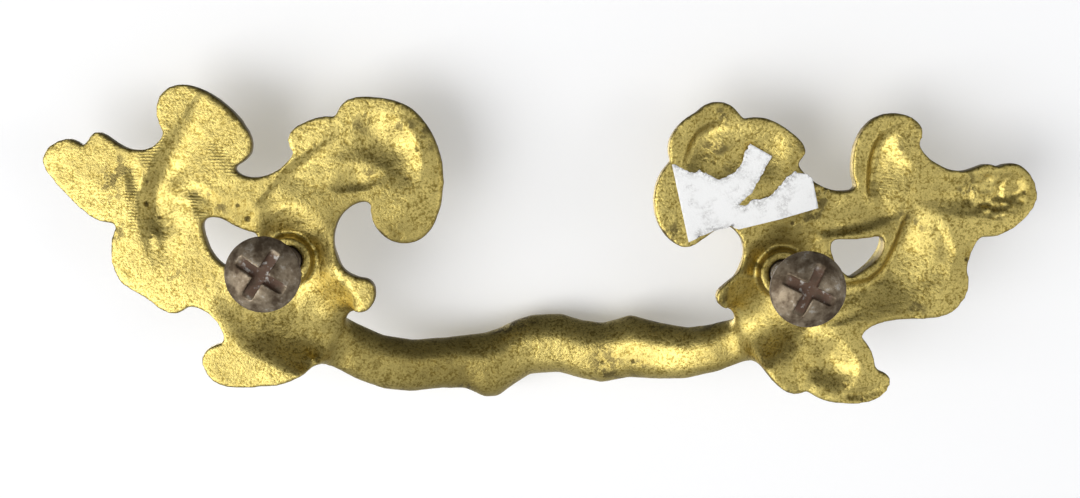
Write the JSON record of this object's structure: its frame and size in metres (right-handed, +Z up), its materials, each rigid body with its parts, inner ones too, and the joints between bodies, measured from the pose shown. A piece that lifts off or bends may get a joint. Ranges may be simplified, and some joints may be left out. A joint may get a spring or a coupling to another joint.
{
  "type": "drawer pull",
  "caption": "Cast drawer pull: a bowed, rounded grip between leafy scrolled wings, hollow at the back, with screw posts and truss-head screws.",
  "frame": {"origin": "midway between the two screw posts, on the mounting plane", "axes": "+Y out of the back, the way the screws leave the posts; the front faces -Y; +Z up; +X right as seen from the front"},
  "size_m": [0.1521, 0.0445, 0.0503],
  "materials": {
    "cast_brass": "as cast, tarnished",
    "dark_steel": "browned, with rust",
    "paper": "matt, torn"
  },
  "bodies": {
    "root": {"pull_casting": "cast_brass", "mounting_screws": "dark_steel", "paper_label": "paper"}
  },
  "joints": []
}
